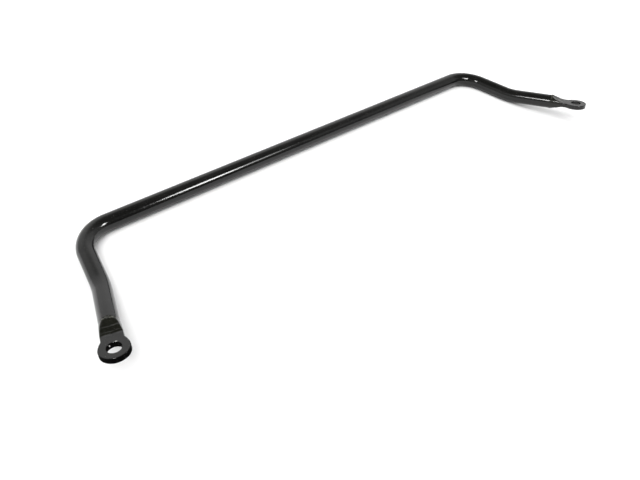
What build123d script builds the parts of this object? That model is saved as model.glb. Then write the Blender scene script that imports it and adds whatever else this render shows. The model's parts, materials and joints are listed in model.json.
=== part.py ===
from build123d import *
import os
from math import cos, radians, sin, tan

# Sway bar, in millimetres. The origin is the middle of the straight section's centre line.
# +X runs along the straight section to the right, +Z is up as the bar lies on a flat surface,
# and the arms reach towards -Y. The left side mirrors the right side across the YZ plane.

# Round tube
BAR_DIAMETER = 25.4
WALL = 4.0

# Centre line, from corner to corner, before the corners are rounded
HALF_SPAN = 425.0  # middle of the bar to the corner of the main bend
ROOT_LENGTH = 107.4  # corner of the main bend to the corner of the kink
ROOT_SPLAY = 12.5  # degrees outwards from -Y
TIP_LENGTH = 126.5  # corner of the kink to the eye's centre
TIP_SPLAY = 21.4  # degrees outwards from -Y
TIP_RISE = 11.3  # degrees upwards
BEND_RADIUS = 53.4  # centre line, main bend
KINK_RADIUS = 110.0  # centre line, kink

# Forged eye end, as distances from the eye's centre along the arm
EYE_RADIUS = 18.7
HOLE_RADIUS = 9.15
PLATE = 7.8  # thickness of the flat eye
EYE_ROLL = 7.0  # degrees that the flat eye leans outwards, about the arm's centre line
NECK_WIDTH = 27.6  # flat neck where it meets the eye
NOTCH_RADIUS = 3.0  # inner corner between the neck and the eye
RAMP_FOOT = 24.0  # the flat face ends and the ramp starts
RAMP_HEAD = 46.0  # the ramp reaches the full round section
RAMP_HOLLOW = 1.2  # how far the ramp's middle lies below a straight slope
SEAM = 47.5  # end of the tube, and shoulder of the eye end
SPIGOT_LENGTH = 20.0
SPIGOT_CLEARANCE = 0.05  # radial, inside the tube
SPIGOT_CHAMFER = 1.0

# Weld bead, a ring in a V groove round the seam
BEAD_HALF_WIDTH = 2.4
BEAD_DEPTH = 1.8
BEAD_CROWN = 0.8  # height above the tube

BAR_RADIUS = BAR_DIAMETER / 2
BORE_RADIUS = BAR_RADIUS - WALL
BLANK = 4 * BAR_DIAMETER  # larger than an eye end each way


def heading(splay, rise):
    """Unit vector of an arm segment on the right side, from angles in degrees."""
    flat = cos(radians(rise))
    return Vector(flat * sin(radians(splay)), -flat * cos(radians(splay)), sin(radians(rise)))


BEND_CORNER = Vector(HALF_SPAN, 0, 0)
ROOT_HEADING = heading(ROOT_SPLAY, 0)
KINK_CORNER = BEND_CORNER + ROOT_HEADING * ROOT_LENGTH
TIP_HEADING = heading(TIP_SPLAY, TIP_RISE)
EYE_CENTRE = KINK_CORNER + TIP_HEADING * TIP_LENGTH


def rounded_corner(corner, heading_in, heading_out, radius):
    """Arc of the centre line that rounds a corner between two straight runs."""
    turn = radians(heading_in.get_angle(heading_out))
    run_used = radius * tan(turn / 2)
    centre = corner + (heading_out - heading_in).normalized() * (radius / cos(turn / 2))
    middle = centre + (corner - centre).normalized() * radius
    return ThreePointArc(corner - heading_in * run_used, middle, corner + heading_out * run_used)


MAIN_BEND = rounded_corner(BEND_CORNER, Vector(1, 0, 0), ROOT_HEADING, BEND_RADIUS)
KINK = rounded_corner(KINK_CORNER, ROOT_HEADING, TIP_HEADING, KINK_RADIUS)
STRAIGHT_END = MAIN_BEND @ 0
SEAM_CENTRE = EYE_CENTRE - TIP_HEADING * SEAM

# The eye end's own frame: x from the eye's centre towards the bar, y across, z square to the flat face
UNROLLED = Vector(0, 0, 1) - TIP_HEADING * TIP_HEADING.Z
EYE_NORMAL = UNROLLED.rotate(Axis((0, 0, 0), -TIP_HEADING), EYE_ROLL)
EYE_FRAME = Plane(origin=EYE_CENTRE, x_dir=-TIP_HEADING, z_dir=EYE_NORMAL)


def tube(path):
    """Round tube along a centre line, open at both ends."""
    start = Plane(origin=path @ 0, z_dir=path % 0)
    ring = start * (Circle(BAR_RADIUS) - Circle(BORE_RADIUS))
    return sweep(ring, path=path)


def weld_ring():
    """Weld bead: it fills the groove round the seam and stands proud in a low crown."""
    top = BAR_RADIUS + BEAD_CROWN
    left = (SEAM - BEAD_HALF_WIDTH, 0, BAR_RADIUS)
    right = (SEAM + BEAD_HALF_WIDTH, 0, BAR_RADIUS)
    root = (SEAM, 0, BAR_RADIUS - BEAD_DEPTH)
    outline = ThreePointArc(left, (SEAM, 0, top), right) + Polyline(right, root, left)
    return EYE_FRAME * revolve(make_face(outline), axis=Axis.X)


def eye_plate():
    """Flat eye and neck, without the hole."""
    neck = Pos(RAMP_FOOT / 2, 0) * Rectangle(RAMP_FOOT, NECK_WIDTH)
    outline = Circle(EYE_RADIUS) + neck
    notches = outline.vertices().filter_by(lambda v: abs(v.Y) > NECK_WIDTH / 2 - 0.01 and v.X < RAMP_FOOT - 1)
    outline = fillet(notches, NOTCH_RADIUS)
    return Pos(0, 0, -PLATE / 2) * extrude(outline, PLATE)


def ramp_profile():
    """Side view of the ramped shank, above and below the middle of the plate."""
    foot_height = PLATE / 2
    foot = (RAMP_FOOT, 0, foot_height)
    head = (RAMP_HEAD, 0, BAR_RADIUS)
    middle = ((RAMP_FOOT + RAMP_HEAD) / 2, 0, (foot_height + BAR_RADIUS) / 2 - RAMP_HOLLOW)
    inner = (RAMP_FOOT - NOTCH_RADIUS, 0, foot_height)
    shoulder = (SEAM, 0, BAR_RADIUS)
    upper = Line(inner, foot) + ThreePointArc(foot, middle, head) + Line(head, shoulder)
    closing = Polyline(shoulder, (SEAM, 0, 0), (inner[0], 0, 0), inner)
    half = make_face(upper + closing)
    return half + mirror(half, about=Plane.XY)


def eye_end():
    """Forged end: flat eye, neck, ramped shank and the spigot that fits inside the tube."""
    blank = Pos(BLANK / 2, 0, 0) * Rot(0, 90, 0) * Cylinder(BAR_RADIUS, BLANK)
    shank = extrude(ramp_profile(), BLANK / 2, both=True) & blank
    spigot_radius = BORE_RADIUS - SPIGOT_CLEARANCE
    spigot = Rot(0, 90, 0) * Cylinder(spigot_radius, SPIGOT_LENGTH)
    spigot = chamfer(spigot.edges().group_by(Axis.X)[-1], SPIGOT_CHAMFER)
    spigot = Pos(SEAM + SPIGOT_LENGTH / 2, 0, 0) * spigot
    forging = eye_plate() + shank + spigot
    return EYE_FRAME * (forging - Cylinder(HOLE_RADIUS, 2 * PLATE))


def arm():
    """Bent end of the tube, from the straight section to the seam."""
    root_run = Line(MAIN_BEND @ 1, KINK @ 0)
    tip_run = Line(KINK @ 1, SEAM_CENTRE)
    return tube(Wire([MAIN_BEND, root_run, KINK, tip_run]))


bead = weld_ring()
right_side = {
    "arm": arm() - bead,
    "eye_end": eye_end() - bead,
    "weld_bead": bead,
}
pieces = {"centre_bar": tube(Line(STRAIGHT_END * -1, STRAIGHT_END))}
for name, solid in right_side.items():
    pieces[f"right_{name}"] = solid
    pieces[f"left_{name}"] = mirror(solid, about=Plane.YZ)

os.makedirs("parts", exist_ok=True)
for name, solid in pieces.items():
    export_step(solid, f"parts/{name}.step")
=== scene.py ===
"""Sway bar: the looks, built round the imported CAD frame. Metres, in the part's own frame."""
import json
import math

import bpy
import numpy as np
from mathutils import Matrix, Vector


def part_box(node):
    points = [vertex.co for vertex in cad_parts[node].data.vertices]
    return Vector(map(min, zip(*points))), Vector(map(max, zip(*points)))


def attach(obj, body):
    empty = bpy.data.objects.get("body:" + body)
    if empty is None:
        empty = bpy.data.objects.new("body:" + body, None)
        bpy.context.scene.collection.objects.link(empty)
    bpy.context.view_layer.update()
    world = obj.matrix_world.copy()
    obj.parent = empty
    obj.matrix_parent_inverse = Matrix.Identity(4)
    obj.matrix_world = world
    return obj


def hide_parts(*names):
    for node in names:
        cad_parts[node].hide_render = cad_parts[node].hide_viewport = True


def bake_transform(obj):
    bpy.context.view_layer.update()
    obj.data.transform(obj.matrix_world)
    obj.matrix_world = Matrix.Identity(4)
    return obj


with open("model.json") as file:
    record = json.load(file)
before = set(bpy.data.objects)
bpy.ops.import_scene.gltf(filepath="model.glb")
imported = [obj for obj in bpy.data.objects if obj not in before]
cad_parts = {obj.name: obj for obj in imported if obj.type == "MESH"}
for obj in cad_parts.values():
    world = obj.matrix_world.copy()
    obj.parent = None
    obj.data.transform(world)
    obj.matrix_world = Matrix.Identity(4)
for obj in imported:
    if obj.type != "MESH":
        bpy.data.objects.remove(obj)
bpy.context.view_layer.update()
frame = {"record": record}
MOUNTS = {mount["name"]: mount for mount in frame["record"]["mounts"]}
MM = 0.001

# Sizes that the frame gives
BAR_RADIUS = MOUNTS["bar_journal"]["dims"]["r_mm"] * MM
STRAIGHT_END = MOUNTS["bar_journal"]["dims"]["length_mm"] * MM / 2
EYE = MOUNTS["right_eye_bore"]
EYE_CENTRE = Vector(EYE["pos_m"])
EYE_NORMAL = Vector(EYE["axis"]).normalized()
HOLE_RADIUS = EYE["dims"]["r_mm"] * MM
PLATE = EYE["dims"]["length_mm"] * MM
FLOOR_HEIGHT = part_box("centre_bar")[0].z

# Sizes that the design has and the frame doesn't list
WALL = 4.0 * MM
BEND_RADIUS = 53.4 * MM
KINK_RADIUS = 110.0 * MM
ROOT_SPLAY = math.radians(12.5)
ROOT_LENGTH = 107.4 * MM
EYE_RADIUS = 18.7 * MM
SEAM = 47.5 * MM  # eye centre to the end of the tube, along the arm

# How finely the tube is divided
AROUND = 128  # points in a ring
RUN_STEP = 6.0 * MM
TURN_STEP = math.radians(1.25)
SHARP_EDGE = math.radians(40)  # an edge that turns by more than this is shaded as a corner

SEED = 7


# ---------------------------------------------------------------- centre line

def corner_of_bend():
    """Corner of the main bend on the right side, where its two straight runs would meet."""
    turn = math.pi / 2 - ROOT_SPLAY
    return Vector((STRAIGHT_END + BEND_RADIUS * math.tan(turn / 2), 0, 0))


BEND_CORNER = corner_of_bend()
KINK_CORNER = BEND_CORNER + Vector((math.sin(ROOT_SPLAY), -math.cos(ROOT_SPLAY), 0)) * ROOT_LENGTH
TIP_HEADING = (EYE_CENTRE - KINK_CORNER).normalized()
SEAM_CENTRE = EYE_CENTRE - TIP_HEADING * SEAM


def arc_points(corner, heading_in, heading_out, radius):
    """Points of the arc that rounds a corner, from tangent point to tangent point."""
    turn = heading_in.angle(heading_out)
    run_used = radius * math.tan(turn / 2)
    centre = corner + (heading_out - heading_in).normalized() * (radius / math.cos(turn / 2))
    start = corner - heading_in * run_used - centre
    axis = heading_in.cross(heading_out).normalized()
    count = max(2, math.ceil(turn / TURN_STEP))
    return [centre + Matrix.Rotation(turn * i / count, 3, axis) @ start for i in range(count + 1)]


def run_points(start, end):
    """Points between two ends of a straight run, without the ends."""
    count = max(2, math.ceil((end - start).length / RUN_STEP))
    return [start.lerp(end, i / count) for i in range(1, count)]


def arm_line():
    """Centre line of the right arm, from the straight section's end to the seam."""
    root_heading = (KINK_CORNER - BEND_CORNER).normalized()
    bend = arc_points(BEND_CORNER, Vector((1, 0, 0)), root_heading, BEND_RADIUS)
    kink = arc_points(KINK_CORNER, root_heading, TIP_HEADING, KINK_RADIUS)
    tip = run_points(kink[-1], SEAM_CENTRE) + [SEAM_CENTRE]
    return bend + run_points(bend[-1], kink[0]) + kink + tip


# ---------------------------------------------------------------- meshes

def add_object(name, vertices, faces):
    """Smooth-shaded mesh object from plain lists."""
    mesh = bpy.data.meshes.new(name)
    mesh.from_pydata([tuple(v) for v in vertices], [], faces)
    mesh.update()
    mesh.shade_smooth()
    piece = bpy.data.objects.new(name, mesh)
    bpy.context.scene.collection.objects.link(piece)
    return piece


def tangents(line):
    """Unit direction of a line at each of its points."""
    found = []
    for i in range(len(line)):
        before = line[max(i - 1, 0)]
        after = line[min(i + 1, len(line) - 1)]
        found.append((after - before).normalized())
    return found


def tube_mesh(name, line, first_tangent, last_tangent):
    """Closed tube wall along a line, with flat annular ends. Rings are carried along without twist."""
    headings = tangents(line)
    headings[0] = first_tangent
    headings[-1] = last_tangent
    side = Vector((0, 0, 1))
    vertices = []
    for place, heading in zip(line, headings):
        side = (side - heading * side.dot(heading)).normalized()
        other = heading.cross(side)
        for radius in (BAR_RADIUS, BAR_RADIUS - WALL):
            for k in range(AROUND):
                angle = 2 * math.pi * k / AROUND
                vertices.append(place + (side * math.cos(angle) + other * math.sin(angle)) * radius)
    faces = []
    ring = 2 * AROUND
    for i in range(len(line) - 1):
        for k in range(AROUND):
            n = (k + 1) % AROUND
            a = i * ring
            b = a + ring
            faces.append((a + k, a + n, b + n, b + k))
            faces.append((a + AROUND + n, a + AROUND + k, b + AROUND + k, b + AROUND + n))
    last = (len(line) - 1) * ring
    for k in range(AROUND):
        n = (k + 1) % AROUND
        faces.append((n, k, AROUND + k, AROUND + n))
        faces.append((last + k, last + n, last + AROUND + n, last + AROUND + k))
    piece = add_object(name, vertices, faces)
    piece.data.set_sharp_from_angle(angle=SHARP_EDGE)
    return piece


def mirrored(line):
    """A line of the right side, turned over to the left side."""
    return [Vector((-p.x, p.y, p.z)) for p in line]


# ---------------------------------------------------------------- shapes from distance fields

LEAST_SLOPE = 0.05  # keeps a step short where a field is nearly level
GRADIENT_STEP = 0.02
WAVE_SPREAD = (0.6, 1.5)  # how far the waves of a random field stray from its length scale
LAST_PHASE = 6.3  # radians


def smooth_min(a, b, k):
    """The lower of two fields, with a rounded change from one to the other of width k."""
    h = np.clip(0.5 + 0.5 * (b - a) / k, 0, 1)
    return b + (a - b) * h - k * h * (1 - h)


def smooth_max(a, b, k):
    """The higher of two fields, with a rounded change from one to the other of width k."""
    return -smooth_min(-a, -b, k)


def surface_net(field, low, high, step):
    """Quad mesh of the surface where a field is zero, on a grid of the given step.

    Each grid cell that the surface crosses gets one vertex, at the mean of its crossings."""
    axes = [np.arange(l, h + step, step) for l, h in zip(low, high)]
    x, y, z = np.meshgrid(*axes, indexing="ij")
    value = field(x, y, z)
    inside = value < 0
    total = np.zeros([n - 1 for n in value.shape] + [3])
    crossings = np.zeros([n - 1 for n in value.shape])
    changed = []
    for axis in range(3):
        near = [slice(None)] * 3
        far = [slice(None)] * 3
        near[axis] = slice(None, -1)
        far[axis] = slice(1, None)
        near, far = tuple(near), tuple(far)
        crosses = inside[near] != inside[far]
        changed.append(crosses)
        at = np.argwhere(crosses)
        a, b = value[near][crosses], value[far][crosses]
        point = at.astype(float)
        point[:, axis] += a / (a - b)
        others = [i for i in range(3) if i != axis]
        for i in (0, 1):
            for j in (0, 1):
                cell = at.copy()
                cell[:, others[0]] -= i
                cell[:, others[1]] -= j
                fits = np.all((cell >= 0) & (cell < crossings.shape), axis=1)
                index = tuple(cell[fits].T)
                np.add.at(total, index, point[fits])
                np.add.at(crossings, index, 1)
    used = crossings > 0
    number = np.full(crossings.shape, -1)
    number[used] = np.arange(used.sum())
    vertices = total[used] / crossings[used][:, None] * step + np.array(low)
    quads = []
    for axis in range(3):
        at = np.argwhere(changed[axis])
        u, v = [(1, 2), (2, 0), (0, 1)][axis]
        at = at[(at[:, u] > 0) & (at[:, v] > 0)]
        corners = []
        for i, j in ((1, 1), (0, 1), (0, 0), (1, 0)):
            cell = at.copy()
            cell[:, u] -= i
            cell[:, v] -= j
            corners.append(number[tuple(cell.T)])
        quad = np.stack(corners, axis=1)
        flip = ~inside[tuple(at.T)]
        quad[flip] = quad[flip][:, ::-1]
        quads.append(quad)
    return vertices, np.concatenate(quads)


def settle(field, points, rounds=3):
    """Moves points onto the surface, along the field's gradient."""
    for _ in range(rounds):
        here = field(*points.T)
        slope = np.zeros_like(points)
        for axis in range(3):
            ahead = points.copy()
            ahead[:, axis] += GRADIENT_STEP
            slope[:, axis] = (field(*ahead.T) - here) / GRADIENT_STEP
        size = np.maximum((slope**2).sum(axis=1), LEAST_SLOPE)
        points = points - slope * (here / size)[:, None]
    return points


def waves(x, y, z, scale, seed, count=9):
    """Smooth random field of about unit height, as a sum of plane waves of one length scale."""
    draw = np.random.default_rng(seed)
    total = np.zeros(np.shape(x))
    for _ in range(count):
        direction = draw.normal(size=3)
        direction *= draw.uniform(*WAVE_SPREAD) / (scale * np.linalg.norm(direction))
        phase = draw.uniform(0, LAST_PHASE)
        total = total + np.sin(direction[0] * x + direction[1] * y + direction[2] * z + phase)
    return total / math.sqrt(count / 2)


# ---------------------------------------------------------------- forged eye end
# In its own frame and in millimetres: x from the eye's centre towards the bar, y across, z square to the eye.

R_BAR = BAR_RADIUS / MM
R_EYE = EYE_RADIUS / MM
R_HOLE = HOLE_RADIUS / MM
HALF_PLATE = PLATE / MM / 2
X_SEAM = SEAM / MM
SPIGOT_CLEARANCE = 0.05
SPIGOT_LENGTH = 20.0
SPIGOT_ROOT = 2.0  # the spigot starts this far inside the shank
R_SPIGOT = R_BAR - WALL / MM - SPIGOT_CLEARANCE
SPIGOT_END = X_SEAM + SPIGOT_LENGTH
NET_STEP = 0.36
NET_MARGIN = 1.0  # how far the net's grid goes past the shape

# The ramp rises from the flat neck to the full round section. The forging die has left low ridges across it.
RAMP_FOOT = 24.0
RAMP_HEAD = 46.6  # the ramp is as high as the tube
RAMP_EASE = 2.2  # length over which the slope sets in
RAMP_SAMPLES = 400
RAMP_RUN_ON = 6.0  # the profile goes on this far past the head, at the slope it has there
RIDGES = ((28.1, 1.05, 0.80), (34.9, 1.3, 0.92))  # place, half length, and how far they level the slope
LONG_WANDER = 0.35  # how far the ridges wander along the arm, in long waves across it
LONG_WAVE = 0.42  # radians per millimetre
SHORT_WANDER = 0.2
SHORT_WAVE = 1.1

# The rough skin that forging leaves. It is strongest on the lower ramp.
SKIN_LENGTH = 3.2  # length scale of the broad dents
GRAIN_LENGTH = 1.1  # length scale of the fine ones
RAMP_SKIN = 0.15
RAMP_GRAIN = 0.06
PLATE_SKIN = 0.035
PLATE_SKIN_STOP = 6.0  # the plate's skin stops this far before the seam
ROUGH_FROM = 23.0  # the ramp's skin sets in here
ROUGH_PAST_SEAM = 0.5
ROUGH_FADE = 3.0
SCOOP = 37.0  # the ramp is smoother from here on
SCOOP_FADE = 2.0
SCOOP_SKIN = 0.2  # share of the ramp's skin that is left there

NECK_HALF_WIDTH = 13.9
NECK_END = 28.0  # the neck is even in width up to here
FLAT_END = 20.0  # the plate is quite flat up to here, and the notches' rounding has faded out
SHANK_START = -2.0  # inside the eye
SHANK_HALF_WIDTH = 13.2
SHANK_NARROWS = 42.0  # the shank is this wide here, and as wide as the tube at the seam
TUCK = 0.8  # the shank goes this far into the tube's end, so that no gap shows at the seam
TUCK_DROP = 0.5  # and is this much slimmer than the tube there
EDGE_ROUND = 0.9
HOLE_ROUND = 0.55
NOTCH_ROUND = 4.5
NOTCH_FADE = 8.0
LEAST_ROUND = 0.05  # share of the notches' rounding that is left after the fade
SLOPE_SCALE = 0.9  # keeps the ramp's field close to a true distance
WELL_INSIDE = -9.0  # a field value that changes nothing

# Painted shade on the left eye: the faces of its edge and bore, picked by these two limits, get a darker coat
# with almost no gloss.
PAINTED_SHADE_BELOW = 0.6  # a face is an edge if its normal's z is less than this
PAINTED_SHADE_END = 13.0
NICKS = ((9.2, 4.2, 3.8), (9.6, 2.9, 3.8), (7.8, -4.8, 1.2), (7.9, -4.6, 0.2))  # chips at the left bore
NICK_RADIUS = 0.75

# Which of an eye end's materials a face has
GLOSS, RAMP, PAINTED_SHADE, BARE = range(4)


def ramp_profile():
    """Places along the ramp and its height there above the middle of the plate.

    The ridges are places where the slope is nearly level for a short way."""
    x = np.linspace(RAMP_FOOT, RAMP_HEAD, RAMP_SAMPLES)
    slope = np.clip((x - RAMP_FOOT) / RAMP_EASE, 0, 1)
    for place, half_length, share in RIDGES:
        slope = slope * (1 - share * np.exp(-(((x - place) / half_length) ** 2)))
    rise = np.concatenate(([0], np.cumsum((slope[1:] + slope[:-1]) / 2)))
    height = HALF_PLATE + rise / rise[-1] * (R_BAR - HALF_PLATE)
    steepest = (height[-1] - height[-2]) / (x[-1] - x[-2])
    places = np.append(x, RAMP_HEAD + RAMP_RUN_ON)
    return places, np.append(height, R_BAR + RAMP_RUN_ON * steepest)


RAMP_X, RAMP_Z = ramp_profile()


def ramp_height(x, y, side):
    """Half thickness at a place, with the ridges wandering a little across the arm."""
    long_part = LONG_WANDER * np.sin(y * LONG_WAVE + side)
    askew = long_part + SHORT_WANDER * np.sin(y * SHORT_WAVE + 2 * side)
    return np.interp(x - askew, RAMP_X, RAMP_Z)


def eye_end_field(side, seed):
    """Distance field of the right eye end. With side -1 its ridges wander the other way, for the left one."""

    def field(x, y, z):
        skin = waves(x, y, z, SKIN_LENGTH, seed)
        grain = waves(x, y, z, GRAIN_LENGTH, seed + 1)
        sets_in = np.clip((x - ROUGH_FROM) / ROUGH_FADE, 0, 1)
        forged = sets_in * np.clip((X_SEAM + ROUGH_PAST_SEAM - x) / ROUGH_FADE, 0, 1)
        lower = np.clip((SCOOP - x) / SCOOP_FADE, SCOOP_SKIN, 1)
        face = side * np.where(z >= 0, 1.0, -1.0)
        height = ramp_height(x, y * face, face)
        height = height + forged * lower * (RAMP_SKIN * skin + RAMP_GRAIN * grain)
        slab = (np.abs(z) - height) * SLOPE_SCALE

        plate = smooth_max(np.hypot(x, y) - R_EYE, np.abs(z) - HALF_PLATE, EDGE_ROUND)
        shank_end = X_SEAM + TUCK
        taper = np.interp(
            x,
            [NECK_END, SHANK_NARROWS, X_SEAM, shank_end],
            [NECK_HALF_WIDTH, SHANK_HALF_WIDTH, R_BAR, R_BAR - TUCK_DROP],
        )
        shank = np.maximum(np.hypot(y, z) - taper, np.maximum(SHANK_START - x, x - shank_end))
        shank = smooth_max(shank, slab, EDGE_ROUND)
        rounding = NOTCH_ROUND * np.clip((FLAT_END - x) / NOTCH_FADE, LEAST_ROUND, 1)
        body = smooth_min(plate, shank, rounding)
        body = np.maximum(body, np.where(x < FLAT_END, np.abs(z) - HALF_PLATE, WELL_INSIDE))

        ends = np.maximum(X_SEAM - SPIGOT_ROOT - x, x - SPIGOT_END)
        body = np.minimum(body, np.maximum(np.hypot(y, z) - R_SPIGOT, ends))
        hole = R_HOLE - np.hypot(x, y)
        plate_skin = PLATE_SKIN * skin * (1 - forged)
        return smooth_max(body, hole, HOLE_ROUND) + plate_skin * (x < X_SEAM - PLATE_SKIN_STOP)

    return field


def eye_frame(side):
    """Matrix from the eye end's own frame, in millimetres, to the part's frame. Side is 1 right, -1 left."""
    x_axis = -TIP_HEADING
    z_axis = EYE_NORMAL
    y_axis = z_axis.cross(x_axis)
    columns = Matrix((x_axis, y_axis, z_axis)).transposed() * MM
    placed = Matrix.Translation(EYE_CENTRE) @ columns.to_4x4()
    return Matrix.Diagonal((side, 1, 1, 1)) @ placed


def quad_frames(points, quads):
    """Centre and unit normal of each quad of a net."""
    a, b, c, d = (points[quads[:, i]] for i in range(4))
    normal = np.cross(c - a, d - b)
    size = np.maximum(np.linalg.norm(normal, axis=1), 1e-9)
    return (a + b + c + d) / 4, normal / size[:, None]


def place_net(name, points, quads, side):
    """Object from a net in the eye end's own frame, on the right or the left."""
    matrix = np.array(eye_frame(side))
    world = points @ matrix[:3, :3].T + matrix[:3, 3]
    if side < 0:
        quads = quads[:, ::-1]
    return add_object(name, world.tolist(), quads.tolist())


def eye_coats(points, quads, side):
    """Which material each quad of an eye end has.

    On the left eye, the edge and the bore get painted shade: a darker coat with almost no gloss. The bore is
    also chipped."""
    centre, normal = quad_frames(points, quads)
    coats = np.full(len(centre), GLOSS)
    coats[centre[:, 0] > RAMP_FOOT + RAMP_EASE / 2] = RAMP
    if side < 0:
        coats[(np.abs(normal[:, 2]) < PAINTED_SHADE_BELOW) & (centre[:, 0] < PAINTED_SHADE_END)] = PAINTED_SHADE
        for nick in NICKS:
            coats[np.linalg.norm(centre - nick, axis=1) < NICK_RADIUS] = BARE
    return coats


def build_eye_end(name, side):
    """Forged end: flat eye, neck, ramped shank and the spigot inside the tube."""
    field = eye_end_field(side, SEED + (side > 0))
    low = (-R_EYE - NET_MARGIN, -R_EYE - NET_MARGIN, -R_BAR - NET_MARGIN)
    high = (SPIGOT_END + NET_MARGIN, R_EYE + NET_MARGIN, R_BAR + NET_MARGIN)
    points, quads = surface_net(field, low, high, NET_STEP)
    points = settle(field, points)
    piece = place_net(name, points, quads, side)
    piece.data.polygons.foreach_set("material_index", eye_coats(points, quads, side))
    return piece


# ---------------------------------------------------------------- weld bead

BEAD_STEP = 0.24
BEAD_NET_X = (40.5, 51.0)
BEAD_MARGIN = 1.6
BEAD_AT_TOP = 47.3  # x of the bead's middle over the top and the underside
BEAD_AT_SIDE = 44.2  # x of it at the sides, where it fades into the metal
CROWN_POWER = 1.5  # how quickly the bead fades from its crown to the sides
LEAST_CROWN = 0.05  # keeps a division safe at the sides

# The crust is a rough band under the lumps
BEAD_HALF_WIDTH = 2.1
SIDE_WIDTH = 0.6  # share of its width that it has at the sides
CRUST_HALF_HEIGHT = 0.75
CRUST_ROUGHNESS = 0.12
CRUST_LENGTH = 0.8  # length scale of its roughness
CRUST_SUNK = 0.9  # how deep its middle lies in the metal
CRUST_LIFT = 0.3  # and how much less at the crown
CRUST_ROUND = 0.4

# The lumps lie in two rows along it
LUMPS_IN_ROW = 34
LUMP_ROWS = ((0, 1.0), (1, 0.55))  # row, and the share of its lumps that are there
LUMP_STRAY = 0.4
LUMP_TURN = 0.3  # how far a lump strays round the bar, in lumps
LUMP_AHEAD = 1.2  # how far the rows lie towards the eye at the crown
ROW_PITCH = 1.3
SUNK_ON_TOP = 0.75  # how deep a lump's middle lies in the metal
SUNK_BELOW = 0.95
LUMP_LIFT = 0.5  # how much less deep it lies at the crown
LUMP_UNEVEN = (-0.15, 0.25)
LUMP_ALONG = (0.9, 1.4)  # half sizes
LUMP_ACROSS = (1.0, 1.6)
LUMP_TALL = (0.8, 1.05)
SECOND_ROW_SIZE = 0.75
LUMP_ROUND = 0.18
LUMP_REACH = 1.08  # a place is on a lump if it is within this many of its half sizes


def bead_middle(crown):
    """Where the bead's middle lies along the arm. Crown is 1 over the top and underside, 0 at the sides."""
    return BEAD_AT_SIDE + (BEAD_AT_TOP - BEAD_AT_SIDE) * crown


def bead_lumps(side):
    """Angle round the bar, place along it, distance from its axis and half sizes of each lump."""
    draw = np.random.default_rng(SEED + 10 + side)
    lumps = []
    for row, share in LUMP_ROWS:
        for i in range(LUMPS_IN_ROW):
            if draw.uniform() > share:
                continue
            angle = 2 * math.pi * (i + draw.uniform(-LUMP_TURN, LUMP_TURN)) / LUMPS_IN_ROW
            upward = math.cos(angle)
            crown = abs(upward) ** CROWN_POWER
            x = bead_middle(crown)
            x += draw.uniform(-LUMP_STRAY, LUMP_STRAY) - LUMP_AHEAD * crown - ROW_PITCH * row
            slope = np.interp(x, RAMP_X, RAMP_Z)
            ground = min(R_BAR, slope / max(abs(upward), LEAST_CROWN))
            sunk = SUNK_ON_TOP if upward > 0 else SUNK_BELOW
            rise = -sunk + LUMP_LIFT * crown + draw.uniform(*LUMP_UNEVEN) * crown
            along = draw.uniform(*LUMP_ALONG) * (SECOND_ROW_SIZE if row else 1)
            across = draw.uniform(*LUMP_ACROSS)
            tall = draw.uniform(*LUMP_TALL)
            lumps.append((angle, x, ground + rise, (along, across, tall)))
    return lumps


def lump_distance(lump, x, y, z):
    """How far a place is from a lump's middle, in the lump's half sizes."""
    angle, at, height, (along, across, tall) = lump
    radial = y * math.sin(angle) + z * math.cos(angle) - height
    side_way = y * math.cos(angle) - z * math.sin(angle)
    return np.sqrt(((x - at) / along) ** 2 + (side_way / across) ** 2 + (radial / tall) ** 2)


def bead_field(lumps):
    """Distance field of the right weld bead: the crust and its lumps."""

    def field(x, y, z):
        around = np.hypot(y, z)
        crown = (np.abs(z) / np.maximum(around, 1e-6)) ** CROWN_POWER
        slope = np.interp(x, RAMP_X, RAMP_Z)
        ground = np.minimum(R_BAR, slope / np.maximum(crown, LEAST_CROWN) ** (1 / CROWN_POWER))
        width = BEAD_HALF_WIDTH * (SIDE_WIDTH + (1 - SIDE_WIDTH) * crown)
        crust = CRUST_HALF_HEIGHT + CRUST_ROUGHNESS * waves(x, y, z, CRUST_LENGTH, SEED + 20)
        off_middle = np.abs(x - bead_middle(crown)) - width
        off_ground = np.abs(around - (ground - CRUST_SUNK + CRUST_LIFT * crown)) - crust
        total = smooth_max(off_middle, off_ground, CRUST_ROUND)
        for lump in lumps:
            distance = (lump_distance(lump, x, y, z) - 1) * min(lump[3])
            total = smooth_min(total, distance, LUMP_ROUND)
        return total

    return field


def on_lumps(points, quads, lumps):
    """1 for the quads that lie on the bead's lumps, which are paler, and 0 for the dark crust."""
    centre, _ = quad_frames(points, quads)
    found = np.zeros(len(centre), dtype=int)
    for lump in lumps:
        found[lump_distance(lump, *centre.T) < LUMP_REACH] = 1
    return found


def build_weld_bead(name, side):
    """Rough bead of overlapping lumps round the seam, high on top and underneath and low at the sides."""
    lumps = bead_lumps(side)
    field = bead_field(lumps)
    reach = R_BAR + BEAD_MARGIN
    low = (BEAD_NET_X[0], -reach, -reach)
    high = (BEAD_NET_X[1], reach, reach)
    points, quads = surface_net(field, low, high, BEAD_STEP)
    points = settle(field, points, rounds=2)
    piece = place_net(name, points, quads, side)
    piece.data.polygons.foreach_set("material_index", on_lumps(points, quads, lumps))
    return piece


# ---------------------------------------------------------------- node helpers

def node(tree, kind, **values):
    """New node, with its sockets or settings set by name."""
    made = tree.nodes.new(kind)
    for key, value in values.items():
        if key in made.inputs:
            made.inputs[key].default_value = value
        else:
            setattr(made, key, value)
    return made


def noise(tree, place, scale, detail=2.0, roughness=0.5):
    """Noise of about 0 to 1 over the surface. Scale is in waves per metre."""
    made = node(tree, "ShaderNodeTexNoise", Scale=scale, Detail=detail, Roughness=roughness)
    tree.links.new(place, made.inputs["Vector"])
    return made.outputs["Fac"]


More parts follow.
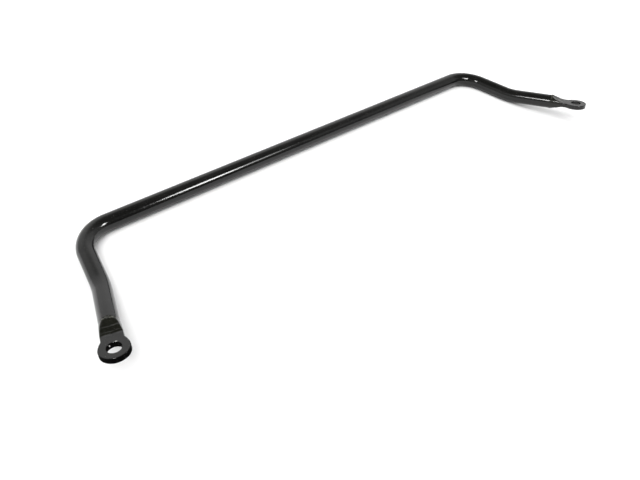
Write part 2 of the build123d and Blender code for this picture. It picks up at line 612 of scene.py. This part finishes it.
def remap(tree, value, from_low, from_high, to_low, to_high):
    """Value moved from one range to another, and held inside it."""
    made = node(tree, "ShaderNodeMapRange")
    made.inputs["From Min"].default_value = from_low
    made.inputs["From Max"].default_value = from_high
    made.inputs["To Min"].default_value = to_low
    made.inputs["To Max"].default_value = to_high
    tree.links.new(value, made.inputs["Value"])
    return made.outputs["Result"]


def bump(tree, height, strength, distance, normal=None):
    """Normal of a surface with that height on it, over any bump that it already has."""
    made = node(tree, "ShaderNodeBump", Strength=strength, Distance=distance)
    tree.links.new(height, made.inputs["Height"])
    if normal is not None:
        tree.links.new(normal, made.inputs["Normal"])
    return made.outputs["Normal"]


def mix_colours(tree, factor, first, second):
    """Colour between two. Each is three fixed numbers or the output of a node."""
    made = node(tree, "ShaderNodeMix", data_type="RGBA")
    for name, colour in (("A", first), ("B", second)):
        if isinstance(colour, tuple):
            made.inputs[name].default_value = (*colour, 1)
        else:
            tree.links.new(colour, made.inputs[name])
    tree.links.new(factor, made.inputs["Factor"])
    return made.outputs["Result"]


def calculate(tree, operation, first, second):
    """Result of a sum on two values. Each is a fixed number or the output of a node."""
    made = node(tree, "ShaderNodeMath", operation=operation)
    for socket, value in zip(made.inputs, (first, second)):
        if isinstance(value, (int, float)):
            socket.default_value = value
        else:
            tree.links.new(value, socket)
    return made.outputs["Value"]


def level_ramp(tree, value, stops):
    """Brightness between stops of (position, level), in straight lines."""
    ramp = node(tree, "ShaderNodeFloatCurve")
    ramp.mapping.clip_max_y = 2.0
    ramp.mapping.extend = "HORIZONTAL"
    points = ramp.mapping.curves[0].points
    points[0].location = stops[0]
    points[1].location = stops[-1]
    for stop in stops[1:-1]:
        points.new(*stop)
    for point in points:
        point.handle_type = "VECTOR"
    ramp.mapping.update()
    tree.links.new(value, ramp.inputs["Value"])
    return ramp.outputs["Value"]


def new_material(name):
    """New material, with its node tree, its shader and the surface's own coordinates."""
    material = bpy.data.materials.new(name)
    material.use_nodes = True
    tree = material.node_tree
    place = node(tree, "ShaderNodeTexCoord").outputs["Object"]
    return material, tree, tree.nodes["Principled BSDF"], place


# ---------------------------------------------------------------- materials
# Scales are in waves per metre.

COAT_IOR = 1.41
COAT_PATCHES = (45.0, 0.75, 1.3)  # noise scale of the tint's patches, and how dark and how light it gets
DUST = (0.09, 0.09, 0.085)
DUST_SCALE = 900.0
DUST_FROM = 0.70  # the noise is a dust speck above this
DUST_FULL = 0.80
UNEVEN_SCALE = 120.0
PEEL_SCALE = 330.0
PEEL_HEIGHT = 0.0006
GRIT_SCALE = 1400.0
GRIT_HEIGHT = 0.0002

DARK_STEEL = (0.34, 0.34, 0.33)
LIGHT_STEEL = (0.60, 0.60, 0.58)
SCRATCH_SCALE = 2500.0
SCRATCH_STRENGTH = 0.3
SCRATCH_HEIGHT = 0.0001


def powder_coat(name, tint, roughness, peel, grit, gloss=0.5, patches=COAT_PATCHES):
    """Black powder coat: orange peel, fine grit, dust specks and uneven gloss.

    Tint is the base colour, roughness a low and high value, peel and grit are bump strengths, and gloss is
    the specular level."""
    material, tree, shader, place = new_material(name)
    patch_scale, darkest, lightest = patches
    dark = tuple(c * darkest for c in tint)
    light = tuple(c * lightest for c in tint)
    cloud = remap(tree, noise(tree, place, patch_scale, detail=3.0), 0.35, 0.65, 0.0, 1.0)
    specks = remap(tree, noise(tree, place, DUST_SCALE, detail=1.0), DUST_FROM, DUST_FULL, 0.0, 1.0)
    dusty = mix_colours(tree, specks, mix_colours(tree, cloud, dark, light), DUST)
    tree.links.new(dusty, shader.inputs["Base Color"])

    uneven = noise(tree, place, UNEVEN_SCALE, detail=4.0, roughness=0.6)
    tree.links.new(remap(tree, uneven, 0.3, 0.7, *roughness), shader.inputs["Roughness"])

    ripple = bump(tree, noise(tree, place, PEEL_SCALE, detail=1.0), peel, PEEL_HEIGHT)
    gritty = bump(tree, noise(tree, place, GRIT_SCALE, detail=2.0), grit, GRIT_HEIGHT, ripple)
    tree.links.new(gritty, shader.inputs["Normal"])
    shader.inputs["IOR"].default_value = COAT_IOR
    shader.inputs["Specular IOR Level"].default_value = gloss
    return material


def bare_steel(name):
    """Dull steel with fine scratches, where the coat is chipped off."""
    material, tree, shader, place = new_material(name)
    scratches = noise(tree, place, SCRATCH_SCALE, detail=3.0)
    colour = mix_colours(tree, scratches, DARK_STEEL, LIGHT_STEEL)
    tree.links.new(colour, shader.inputs["Base Color"])
    tree.links.new(remap(tree, scratches, 0.3, 0.7, 0.35, 0.6), shader.inputs["Roughness"])
    scratched = bump(tree, scratches, SCRATCH_STRENGTH, SCRATCH_HEIGHT)
    tree.links.new(scratched, shader.inputs["Normal"])
    shader.inputs["Metallic"].default_value = 1.0
    return material


TUBE_COAT = powder_coat("tube_coat", (0.0048, 0.0048, 0.0044), roughness=(0.07, 0.14), peel=0.10, grit=0.05)
FORGING_COAT = powder_coat(
    "forging_coat",
    (0.0050, 0.0050, 0.0047),
    roughness=(0.10, 0.18),
    peel=0.12,
    grit=0.12,
)
RAMP_COAT = powder_coat(
    "forging_ramp_coat",
    (0.0058, 0.0060, 0.0036),
    roughness=(0.12, 0.21),
    peel=0.14,
    grit=0.16,
)
# Painted shade: a darker coat with almost no gloss on the left eye's edge and bore, so that they look as dark
# as shade.
PAINTED_SHADE_COAT = powder_coat(
    "forging_edge_painted_shade",
    (0.0014, 0.0014, 0.0013),
    roughness=(0.5, 0.7),
    peel=0.2,
    grit=0.3,
    gloss=0.01,
)
CRUST_COAT = powder_coat(
    "weld_crust_coat",
    (0.0075, 0.0075, 0.0055),
    roughness=(0.35, 0.5),
    peel=0.25,
    grit=0.3,
    gloss=0.15,
)
LUMP_COAT = powder_coat(
    "weld_lump_coat",
    (0.027, 0.027, 0.020),
    roughness=(0.3, 0.5),
    peel=0.25,
    grit=0.3,
    patches=(330.0, 0.2, 2.2),
)
STEEL = bare_steel("bare_steel")


# ---------------------------------------------------------------- the pieces

EYE_MATERIALS = (FORGING_COAT, RAMP_COAT, PAINTED_SHADE_COAT, STEEL)  # in the order GLOSS, RAMP, PAINTED_SHADE, BARE


def dress(piece, materials, body, slot, *nodes):
    """Gives a piece its materials, hides the CAD nodes that it stands for, and attaches it to its body if one
    is given. The slot is not used.
    """
    for material in materials:
        piece.data.materials.append(material)
    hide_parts(*nodes)
    if body:
        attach(piece, body)


for side, word in ((-1, "left"), (1, "right")):
    outward = Vector((side, 0, 0))

    # Half of the straight section.
    middle = Vector((0, 0, 0))
    far_end = Vector((side * STRAIGHT_END, 0, 0))
    half = [middle] + run_points(middle, far_end) + [far_end]
    shaft = tube_mesh(f"torsion_tube_{word}", half, outward, outward)
    dress(shaft, [TUBE_COAT], None, "tube_coat", "centre_bar")
    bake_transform(shaft)

    line = arm_line() if side > 0 else mirrored(arm_line())
    tip = TIP_HEADING if side > 0 else mirrored([TIP_HEADING])[0]
    arm = tube_mesh(f"arm_tube_{word}", line, outward, tip)
    dress(arm, [TUBE_COAT], f"{word}_lever", "tube_coat", f"{word}_arm")

    eye = build_eye_end(f"forged_eye_end_{word}", side)
    dress(eye, EYE_MATERIALS, f"{word}_lever", "forging_coat", f"{word}_eye_end")

    bead = build_weld_bead(f"weld_{word}", side)
    dress(bead, [CRUST_COAT, LUMP_COAT], f"{word}_lever", "weld_coat", f"{word}_weld_bead")


# ---------------------------------------------------------------- floor

FLOOR_SIZE = 14.0
DARKER_PAPER = (0.89, 0.89, 0.89)
LIGHTER_PAPER = (0.93, 0.93, 0.93)
PAPER_SCALE = 60.0


def build_floor():
    """Plain pale floor, at the height of the bar's underside."""
    half = FLOOR_SIZE / 2
    corners = [(x, y, FLOOR_HEIGHT) for x, y in ((-half, -half), (half, -half), (half, half), (-half, half))]
    floor = add_object("floor", corners, [(0, 1, 2, 3)])
    material, tree, shader, place = new_material("floor_paper")
    colour = mix_colours(tree, noise(tree, place, PAPER_SCALE), DARKER_PAPER, LIGHTER_PAPER)
    tree.links.new(colour, shader.inputs["Base Color"])
    shader.inputs["Roughness"].default_value = 0.9
    shader.inputs["Specular IOR Level"].default_value = 0.1
    floor.data.materials.append(material)


# ---------------------------------------------------------------- light

# Brightness of the room's walls by height, from 0 at the horizon to 1 overhead
WALL_TO_CEILING = ((0.0, 1.18), (0.52, 1.18), (0.62, 0.9), (0.70, 0.45), (0.80, 0.22), (1.0, 0.1))
# and its share of that by direction, from 0 for -Y or -X to 1 for +Y or +X
FRONT_TO_BACK = ((0.0, 0.1), (0.10, 0.12), (0.19, 0.55), (0.40, 0.75), (0.55, 1.0), (1.0, 1.0))
LEFT_TO_RIGHT = ((0.0, 0.55), (0.2, 0.65), (0.45, 0.9), (0.6, 1.0), (0.8, 1.05), (0.92, 0.8), (1.0, 0.75))
BACK_WALL_LIFT = -0.08  # the walls' upper edge is higher at the back than at the front


def aim(thing, place, target):
    """Puts a light in its place and turns it to its target."""
    thing.location = place
    thing.rotation_euler = (Vector(target) - Vector(place)).to_track_quat("-Z", "Y").to_euler()


def area_light(name, place, target, width, height, radiance):
    """Oval soft box of a given brightness. It shows only as a reflection in the gloss."""
    light = bpy.data.lights.new(name, "AREA")
    light.shape = "ELLIPSE"
    light.size = width
    light.size_y = height
    light.energy = radiance * math.pi * math.pi / 4 * width * height
    box = bpy.data.objects.new(name, light)
    bpy.context.scene.collection.objects.link(box)
    aim(box, place, target)
    box.visible_camera = False
    box.visible_diffuse = False


def soft_sun(name, place, strength, spread):
    """Broad soft light from one side. It lights the floor and isn't seen in the gloss."""
    light = bpy.data.lights.new(name, "SUN")
    light.energy = strength
    light.angle = math.radians(spread)
    sun = bpy.data.objects.new(name, light)
    bpy.context.scene.collection.objects.link(sun)
    aim(sun, place, (0, 0, 0))
    sun.visible_glossy = False


def build_light():
    """Two suns for the floor and its shadows, and three soft boxes for the highlights."""
    soft_sun("room", (0, 0, 3), strength=2.15, spread=120)
    soft_sun("window", (-1.84, -0.78, 3.2), strength=1.95, spread=44)
    area_light("front_window", (0.222, -0.68, 0.60), (0, 0, 0), width=0.25, height=0.26, radiance=33.0)
    area_light("front_window_edge", (0.38, -0.68, 0.60), (0, 0, 0), width=0.30, height=0.22, radiance=9.0)
    area_light("left_window", (-0.75, -0.36, 0.78), (0.45, -0.13, 0), width=0.32, height=0.22, radiance=44.0)


def build_world():
    """Room light: white from the horizon to half way up, dark overhead and at the front."""
    world = bpy.data.worlds.new("studio")
    bpy.context.scene.world = world
    world.use_nodes = True
    tree = world.node_tree
    background = tree.nodes["Background"]
    split = node(tree, "ShaderNodeSeparateXYZ")
    tree.links.new(node(tree, "ShaderNodeTexCoord").outputs["Generated"], split.inputs["Vector"])

    def from_0_to_1(value):
        """Turns a range of -1 to 1 into 0 to 1."""
        return calculate(tree, "ADD", calculate(tree, "MULTIPLY", value, 0.5), 0.5)

    lift = calculate(tree, "MULTIPLY", split.outputs["Y"], BACK_WALL_LIFT)
    wall = level_ramp(tree, calculate(tree, "ADD", split.outputs["Z"], lift), WALL_TO_CEILING)
    front = level_ramp(tree, from_0_to_1(split.outputs["Y"]), FRONT_TO_BACK)
    across = level_ramp(tree, from_0_to_1(split.outputs["X"]), LEFT_TO_RIGHT)
    level = calculate(tree, "MULTIPLY", calculate(tree, "MULTIPLY", wall, front), across)
    tree.links.new(level, background.inputs["Strength"])
    background.inputs["Color"].default_value = (1.0, 1.0, 1.0, 1)


# ---------------------------------------------------------------- camera

CAMERA_PLACE = Vector((-0.6975, -0.6807, 0.6513))
CAMERA_YAW = math.radians(48.36)  # from +Y towards +X
CAMERA_PITCH = math.radians(42.055)  # downwards
CAMERA_ROLL = math.radians(-9.04)
SENSOR_WIDTH = 36.0
FOCAL_LENGTH = 38.01


def build_camera():
    """Looks down on the bar from beyond its left end, on the arms' side."""
    level = math.cos(CAMERA_PITCH)
    forward = Vector((math.sin(CAMERA_YAW) * level, math.cos(CAMERA_YAW) * level, -math.sin(CAMERA_PITCH)))
    level_right = forward.cross(Vector((0, 0, 1))).normalized()
    level_up = level_right.cross(forward)
    right = level_right * math.cos(CAMERA_ROLL) - level_up * math.sin(CAMERA_ROLL)
    up = level_up * math.cos(CAMERA_ROLL) + level_right * math.sin(CAMERA_ROLL)
    lens = bpy.data.cameras.new("camera")
    lens.sensor_width = SENSOR_WIDTH
    lens.lens = FOCAL_LENGTH
    camera = bpy.data.objects.new("camera", lens)
    bpy.context.scene.collection.objects.link(camera)
    turned = Matrix((right, up, -forward)).transposed().to_4x4()
    camera.matrix_world = Matrix.Translation(CAMERA_PLACE) @ turned
    bpy.context.scene.camera = camera


build_floor()
build_light()
build_world()
build_camera()
bpy.context.scene.view_settings.view_transform = "Standard"
